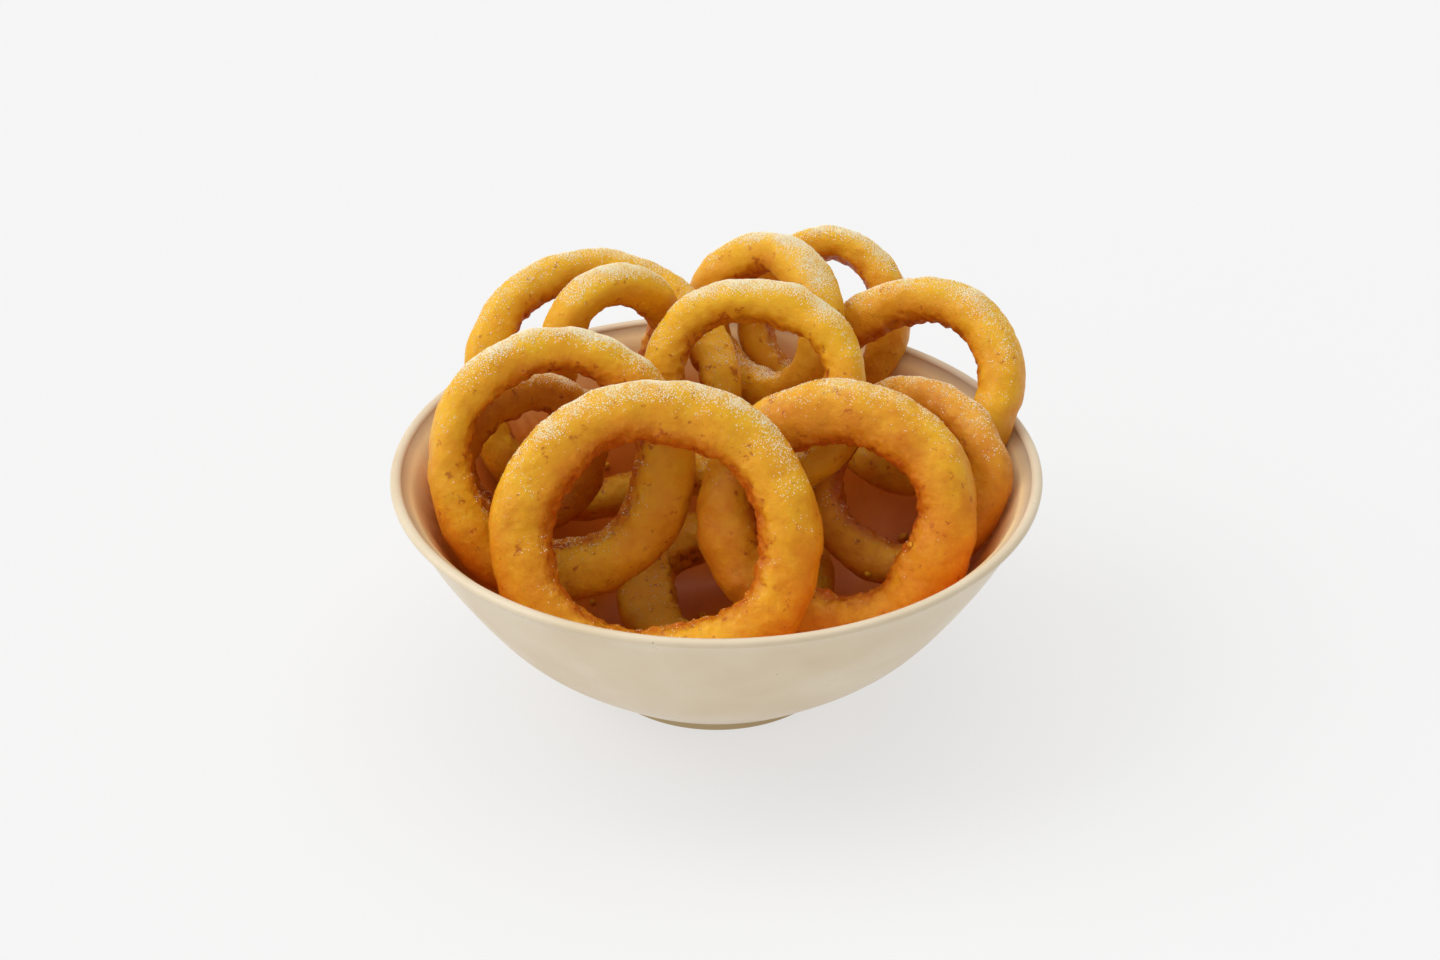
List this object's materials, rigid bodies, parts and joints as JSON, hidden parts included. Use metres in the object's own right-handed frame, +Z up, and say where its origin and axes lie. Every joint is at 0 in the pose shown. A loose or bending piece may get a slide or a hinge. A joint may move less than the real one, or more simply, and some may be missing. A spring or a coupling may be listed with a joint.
{
  "type": "bowl of onion rings",
  "caption": "Round cream stoneware bowl on a small foot, heaped with uneven battered and fried onion rings that lean on each other above the rim.",
  "frame": {"origin": "middle of the foot, on the table", "axes": "+Z up along the bowl's axis, -Y towards the side that the heap shows its front to, +X to the right seen from there"},
  "size_m": [0.1698, 0.1714, 0.1006],
  "materials": {
    "cream_glaze": "smooth cream glaze with a soft gloss",
    "golden_batter": "crisp golden fried batter, finely grainy and lightly oiled",
    "brown_batter": "darker orange-brown fried batter, lightly oiled"
  },
  "bodies": {
    "root": {"bowl": "cream_glaze", "ring_front_left": "golden_batter", "ring_front_right": "golden_batter", "ring_left": "golden_batter", "ring_left_small": "brown_batter", "ring_back_left": "golden_batter", "ring_back_upright": "golden_batter", "ring_back_middle": "golden_batter", "ring_middle": "golden_batter", "ring_back_right": "golden_batter", "ring_right": "golden_batter", "ring_right_low": "brown_batter", "ring_bottom": "brown_batter"}
  },
  "joints": []
}
